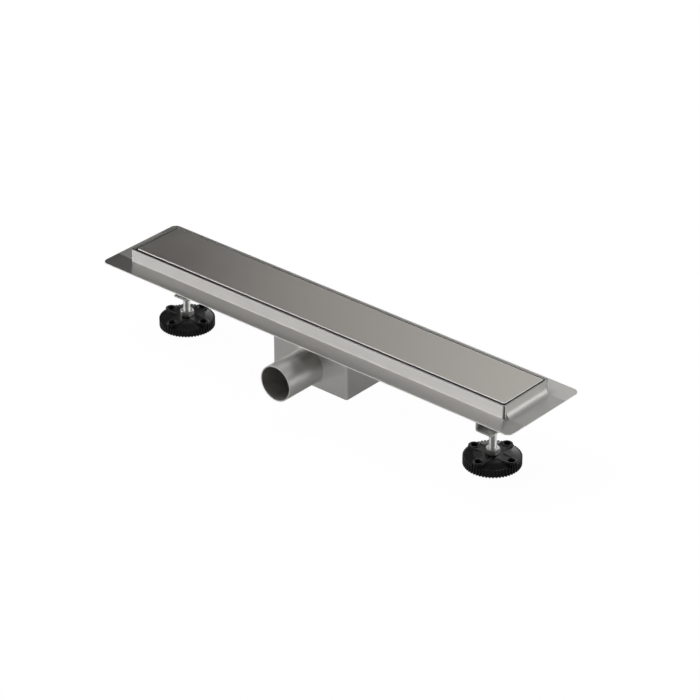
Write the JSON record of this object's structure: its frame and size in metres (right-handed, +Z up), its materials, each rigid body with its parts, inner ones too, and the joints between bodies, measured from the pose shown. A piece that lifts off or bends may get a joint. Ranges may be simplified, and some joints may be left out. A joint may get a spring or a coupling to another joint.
{
  "type": "linear shower drain",
  "caption": "Long stainless shower channel with a flush plain cover, tiling flange, trapped sump with a side outlet pipe, and levelling feet.",
  "frame": {"origin": "centre of the cover plate's top face, at the finished floor's level", "axes": "+X along the channel, +Z up out of the floor, -Y the way the outlet pipe points"},
  "size_m": [0.7, 0.1835, 0.12],
  "materials": {
    "stainless_frame": "satin",
    "stainless_trough": "satin",
    "stainless_sump": "satin",
    "stainless_pipe": "satin",
    "stainless_cover": "brushed",
    "stainless_bracket": "satin",
    "sieve_steel": "polished",
    "nut_steel": "satin",
    "stud_zinc": "zinc plated",
    "foot_plastic": "moulded, slight sheen",
    "trap_plastic": "moulded",
    "seal_rubber": "matte",
    "strip_rubber": "matte"
  },
  "bodies": {
    "drain": {"flange_front": "stainless_frame", "flange_back": "stainless_frame", "flange_left": "stainless_frame", "flange_right": "stainless_frame", "trough": "stainless_trough", "sump_box": "stainless_sump", "outlet_pipe": "stainless_pipe", "cover_plate": "stainless_cover", "cover_rail_1": "stainless_trough", "cover_rail_2": "stainless_trough", "cover_rail_3": "stainless_trough", "cover_rail_4": "stainless_trough", "rest_strip_1": "strip_rubber", "rest_strip_2": "strip_rubber", "rest_strip_3": "strip_rubber", "rest_strip_4": "strip_rubber", "trap_insert": "trap_plastic", "trap_seal": "seal_rubber", "trap_cup": "trap_plastic", "hair_sieve": "sieve_steel", "left_bracket": "stainless_bracket", "left_weld_nut": "nut_steel", "right_bracket": "stainless_bracket", "right_weld_nut": "nut_steel"},
    "left_foot": {"left_foot": "foot_plastic"},
    "left_stud": {"left_stud": "stud_zinc", "left_lock_nut": "nut_steel"},
    "right_foot": {"right_foot": "foot_plastic"},
    "right_stud": {"right_stud": "stud_zinc", "right_lock_nut": "nut_steel"}
  },
  "joints": [
    {"name": "left_foot_slide", "type": "slide", "parent": "drain", "child": "left_foot", "axis": [0, 0, 1], "range_m": [-0.0125, 0.0125]},
    {"name": "left_stud_turn", "type": "hinge", "parent": "left_foot", "child": "left_stud", "pos_m": [-0.2713, 0.0088, -0.1], "axis": [0, 0, 1], "range_deg": [-2880, 2880]},
    {"name": "right_foot_slide", "type": "slide", "parent": "drain", "child": "right_foot", "axis": [0, 0, 1], "range_m": [-0.0125, 0.0125]},
    {"name": "right_stud_turn", "type": "hinge", "parent": "right_foot", "child": "right_stud", "pos_m": [0.2713, -0.0025, -0.1], "axis": [0, 0, 1], "range_deg": [-2880, 2880]}
  ],
  "couplings": [
    {"joint": "left_foot_slide", "follows": "left_stud_turn", "m_per_rad": 0.00023873},
    {"joint": "right_foot_slide", "follows": "right_stud_turn", "m_per_rad": 0.00023873}
  ]
}
